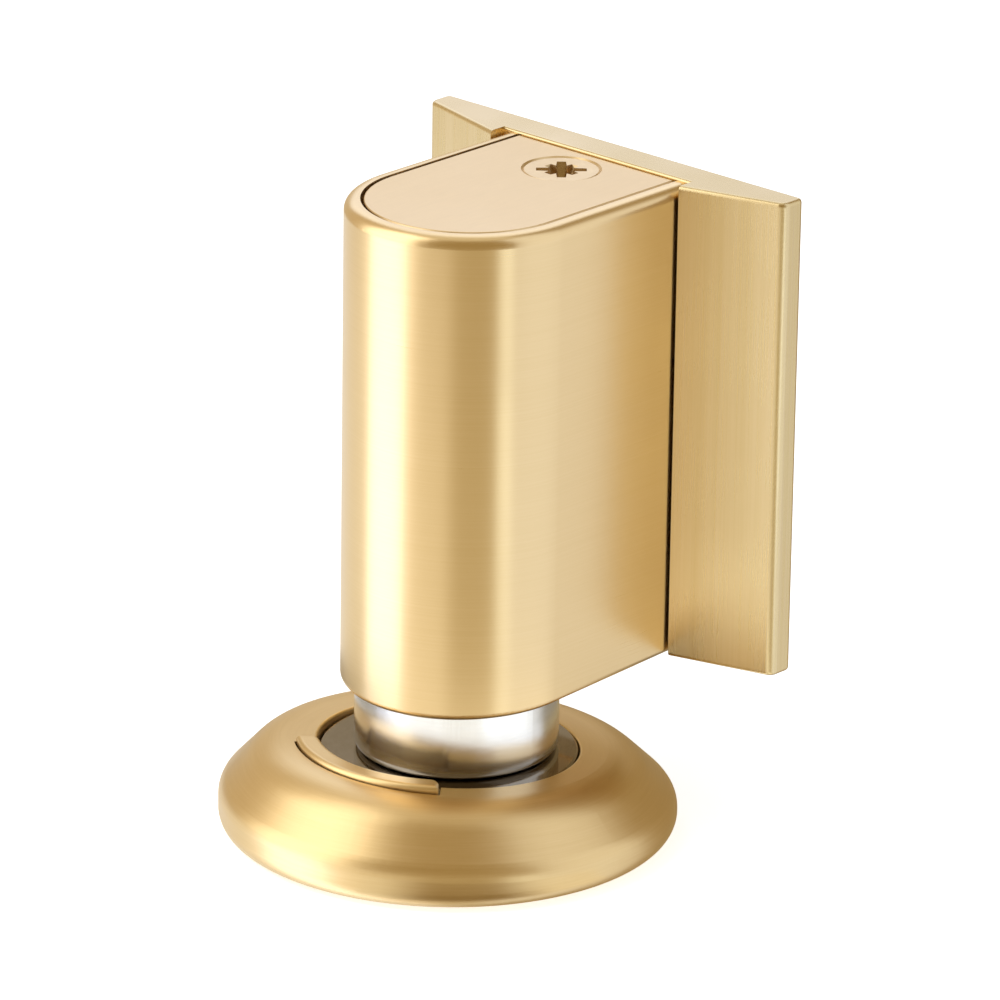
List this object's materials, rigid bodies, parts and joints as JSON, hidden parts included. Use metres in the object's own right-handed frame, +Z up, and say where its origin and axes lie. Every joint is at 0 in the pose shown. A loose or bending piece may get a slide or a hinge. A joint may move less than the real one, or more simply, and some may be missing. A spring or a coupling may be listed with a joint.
{
  "type": "magnetic door stop",
  "caption": "Door unit with a sprung magnet plunger in a round-nosed housing on a winged plate, standing over a domed floor ring with a steel strike disc and stop lip.",
  "frame": {"origin": "centre of the floor base's underside, on the floor", "axes": "+Z up, +Y towards the door that the plate is screwed to, +X across the plate"},
  "size_m": [0.0584, 0.0587, 0.081],
  "materials": {
    "satin_brass": "fine satin brushing",
    "brass_screw": "satin",
    "satin_nickel": "satin nickel plate",
    "polished_steel": "polished, smoky",
    "plated_steel": "zinc plate",
    "guide_plastic": "moulded",
    "buffer_rubber": "matt"
  },
  "bodies": {
    "floor_base": {"base_ring": "satin_brass", "base_core": "satin_brass", "strike_disc": "polished_steel", "disc_screw": "plated_steel"},
    "door_unit": {"door_plate": "satin_brass", "housing_shell": "satin_brass", "top_cap": "satin_brass", "cap_screw": "brass_screw", "guide_bush": "guide_plastic", "return_spring": "plated_steel"},
    "plunger": {"magnet_cup": "satin_nickel", "magnet": "satin_nickel", "stem": "plated_steel", "buffer_washer": "buffer_rubber", "spring_washer": "plated_steel", "retaining_clip": "plated_steel"}
  },
  "joints": [
    {"name": "door_travel", "type": "slide", "parent": "floor_base", "child": "door_unit", "axis": [0, 1, 0], "range_m": [-0.0045, 0.06]},
    {"name": "plunger_travel", "type": "slide", "parent": "door_unit", "child": "plunger", "axis": [0, 0, 1], "range_m": [0, 0.008], "deforming": ["return_spring"]}
  ]
}
